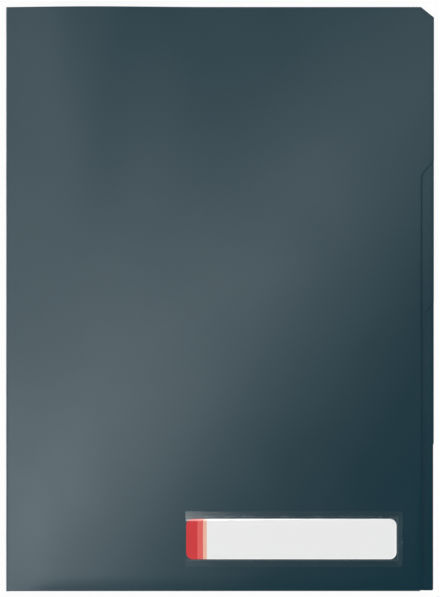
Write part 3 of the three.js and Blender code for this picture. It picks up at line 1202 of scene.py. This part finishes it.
@dataclass(frozen=True)
class LightPool:
    """One soft-edged pool of light on the studio's overhead scrim.

    Places on the scrim are metres from the point straight above, on a scrim one metre up.

    Attributes:
        middle: Where it is brightest.
        size: Distances along and across it at which its light has fallen to a third.
        turn: Way that it runs, in degrees from +X towards +Y.
        radiance: Brightness of its middle, where 1 shows as white.
    """

    middle: tuple[float, float]
    size: tuple[float, float]
    turn: float
    radiance: float

    def add(
        self, tree: bpy.types.NodeTree, scrim: bpy.types.NodeSocket, light: bpy.types.NodeSocket
    ) -> bpy.types.NodeSocket:
        """Adds the pool to the light so far.

        Its light is the exponential of minus the squared distance from its middle, measured in its sizes.

        Args:
            tree: The world's node tree.
            scrim: The place on the scrim.
            light: The light so far.

        Returns:
            The light with the pool.
        """
        place = {
            "vector_type": "TEXTURE",
            "Location": (*self.middle, 0.0),
            "Rotation": (0.0, 0.0, math.radians(self.turn)),
            "Scale": (*self.size, 1.0),
            "Vector": scrim,
        }
        local = add_node(tree, "Mapping", place)
        away = add_node(tree, "VectorMath", {"operation": "DOT_PRODUCT", 0: local, 1: local}, "Value")
        fall = add_node(tree, "Math", {"operation": "MULTIPLY", 0: away, 1: -1.0})
        glow = add_node(tree, "Math", {"operation": "EXPONENT", 0: fall})
        return add_node(tree, "Math", {"operation": "MULTIPLY_ADD", 0: glow, 1: self.radiance, 2: light})


@dataclass
class Studio:
    """The camera above the folder, the paper under it and the lamps round it."""

    sizes: FolderSizes
    frame_height_px: float = 597.0
    folder_height_px: float = 584.4
    folder_drop_px: float = 0.7
    lens: float = 85.0
    sensor: float = 36.0
    wall_light: float = 1.36
    ceiling_light: float = 0.03  # brightness between the pools
    ceiling_turn: tuple[float, float] = (0.66, 0.92)  # upward part of a direction, from wall to ceiling
    least_up: float = 0.05  # upward part below which the scrim counts as no farther
    paper_half: float = 6.0  # half the paper's side, in metres
    paper_drop: float = 0.0002  # how far it lies under the folder, in metres
    pools: tuple[LightPool, ...] = (
        LightPool((-0.205, -0.231), (0.598, 0.034), 48.5, 8.51),
        LightPool((-0.258, 0.101), (0.386, 0.092), 105.1, 2.84),
        LightPool((0.198, 0.764), (0.991, 0.035), 64.5, 3.49),
    )

    def build(self) -> None:
        """Makes everything of the studio."""
        self._camera()
        self._paper()
        self._room()
        bpy.context.scene.view_settings.view_transform = "Standard"

    def _camera(self) -> None:
        """A camera that looks straight down, so far up that the folder fills its share of the frame."""
        s = self.sizes
        field_mm = s.height * self.frame_height_px / self.folder_height_px
        top = Leaf.FRONT_COVER * s.open_pitch + s.sheet
        distance = field_mm * self.lens / self.sensor + top
        camera = bpy.data.cameras.new("camera")
        camera.lens = self.lens
        camera.sensor_width = self.sensor
        holder = bpy.data.objects.new("camera", camera)
        shift = self.folder_drop_px * s.height / self.folder_height_px
        holder.location = (0.0, shift * MM, distance * MM)
        bpy.context.scene.collection.objects.link(holder)
        bpy.context.scene.camera = holder

    def _paper(self) -> None:
        """A wide sheet of paper, a hair under the folder."""
        half, z = self.paper_half, -self.paper_drop
        corners = np.array([[-half, -half, z], [half, -half, z], [half, half, z], [-half, half, z]])
        paper = new_piece("sweep_paper", corners, np.array([[0, 1, 2, 3]]))
        paper.data.materials.append(SweepPaper("Sweep paper").build())

    def _room(self) -> None:
        """Bright walls, a dark ceiling, and the pools of light on the scrim under it.

        The room's light falls off smoothly with height above the horizon. A direction meets the scrim where
        its x and y, divided by its z, are.
        """
        world = bpy.data.worlds.new("room")
        bpy.context.scene.world = world
        world.use_nodes = True
        tree = world.node_tree
        tree.nodes.clear()
        toward = add_node(tree, "TexCoord", {}, "Generated")
        up = add_node(tree, "SeparateXYZ", {"Vector": toward}, "Z")
        walls = {
            "interpolation_type": "SMOOTHSTEP",
            "From Min": self.ceiling_turn[0],
            "From Max": self.ceiling_turn[1],
            "To Min": self.wall_light,
            "To Max": self.ceiling_light,
            "Value": up,
        }
        light = add_node(tree, "MapRange", walls)
        above = add_node(tree, "Math", {"operation": "MAXIMUM", 0: up, 1: self.least_up})
        reach = add_node(tree, "Math", {"operation": "DIVIDE", 0: 1.0, 1: above})
        scrim = add_node(tree, "VectorMath", {"operation": "SCALE", 0: toward, "Scale": reach})
        flat = add_node(tree, "VectorMath", {"operation": "MULTIPLY", 0: scrim, 1: (1.0, 1.0, 0.0)})
        for pool in self.pools:
            light = pool.add(tree, flat, light)
        sky = add_node(tree, "Background", {"Color": (1.0, 1.0, 1.0, 1.0), "Strength": light})
        add_node(tree, "OutputWorld", {"Surface": sky})


@dataclass
class Folder:
    """The whole folder, built from the leaf that it lies on up to the card."""

    sizes: FolderSizes = field(default_factory=FolderSizes)

    def build(self) -> None:
        """Builds every sub-assembly in order."""
        s = self.sizes
        face = EmbossedPolypropylene("Embossed polypropylene").build()
        edge = CutPolypropylene("Die-cut polypropylene edge").build()
        for leaf, stretches in STRETCHES.items():
            LeafSheet(s, leaf, stretches, face, edge).build()
        FoldStrip(s, "cover_fold", "outer_fold", s.fold_radius, face, edge).build()
        inner = s.fold_radius - s.seam_pitch
        FoldStrip(s, "inner_fold", "divider_fold", inner, face, edge).build()
        SpineSeam(s, MeltedPolypropylene("Melted polypropylene").build()).build()
        pocket = LabelPocket(s, ClearFilm("Clear cast film").build())
        pocket.build()
        card_left = float(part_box("label_card")[0][0]) / MM
        printed = PrintedCard("Printed index card", card_left).build()
        LabelCard(s, printed, rest=pocket.base + pocket.card_play).build()


def main() -> None:
    """Builds the folder and its studio."""
    logging.basicConfig(level=logging.INFO, format="%(message)s")
    folder = Folder()
    folder.build()
    Studio(folder.sizes).build()


if __name__ == "__main__":
    main()
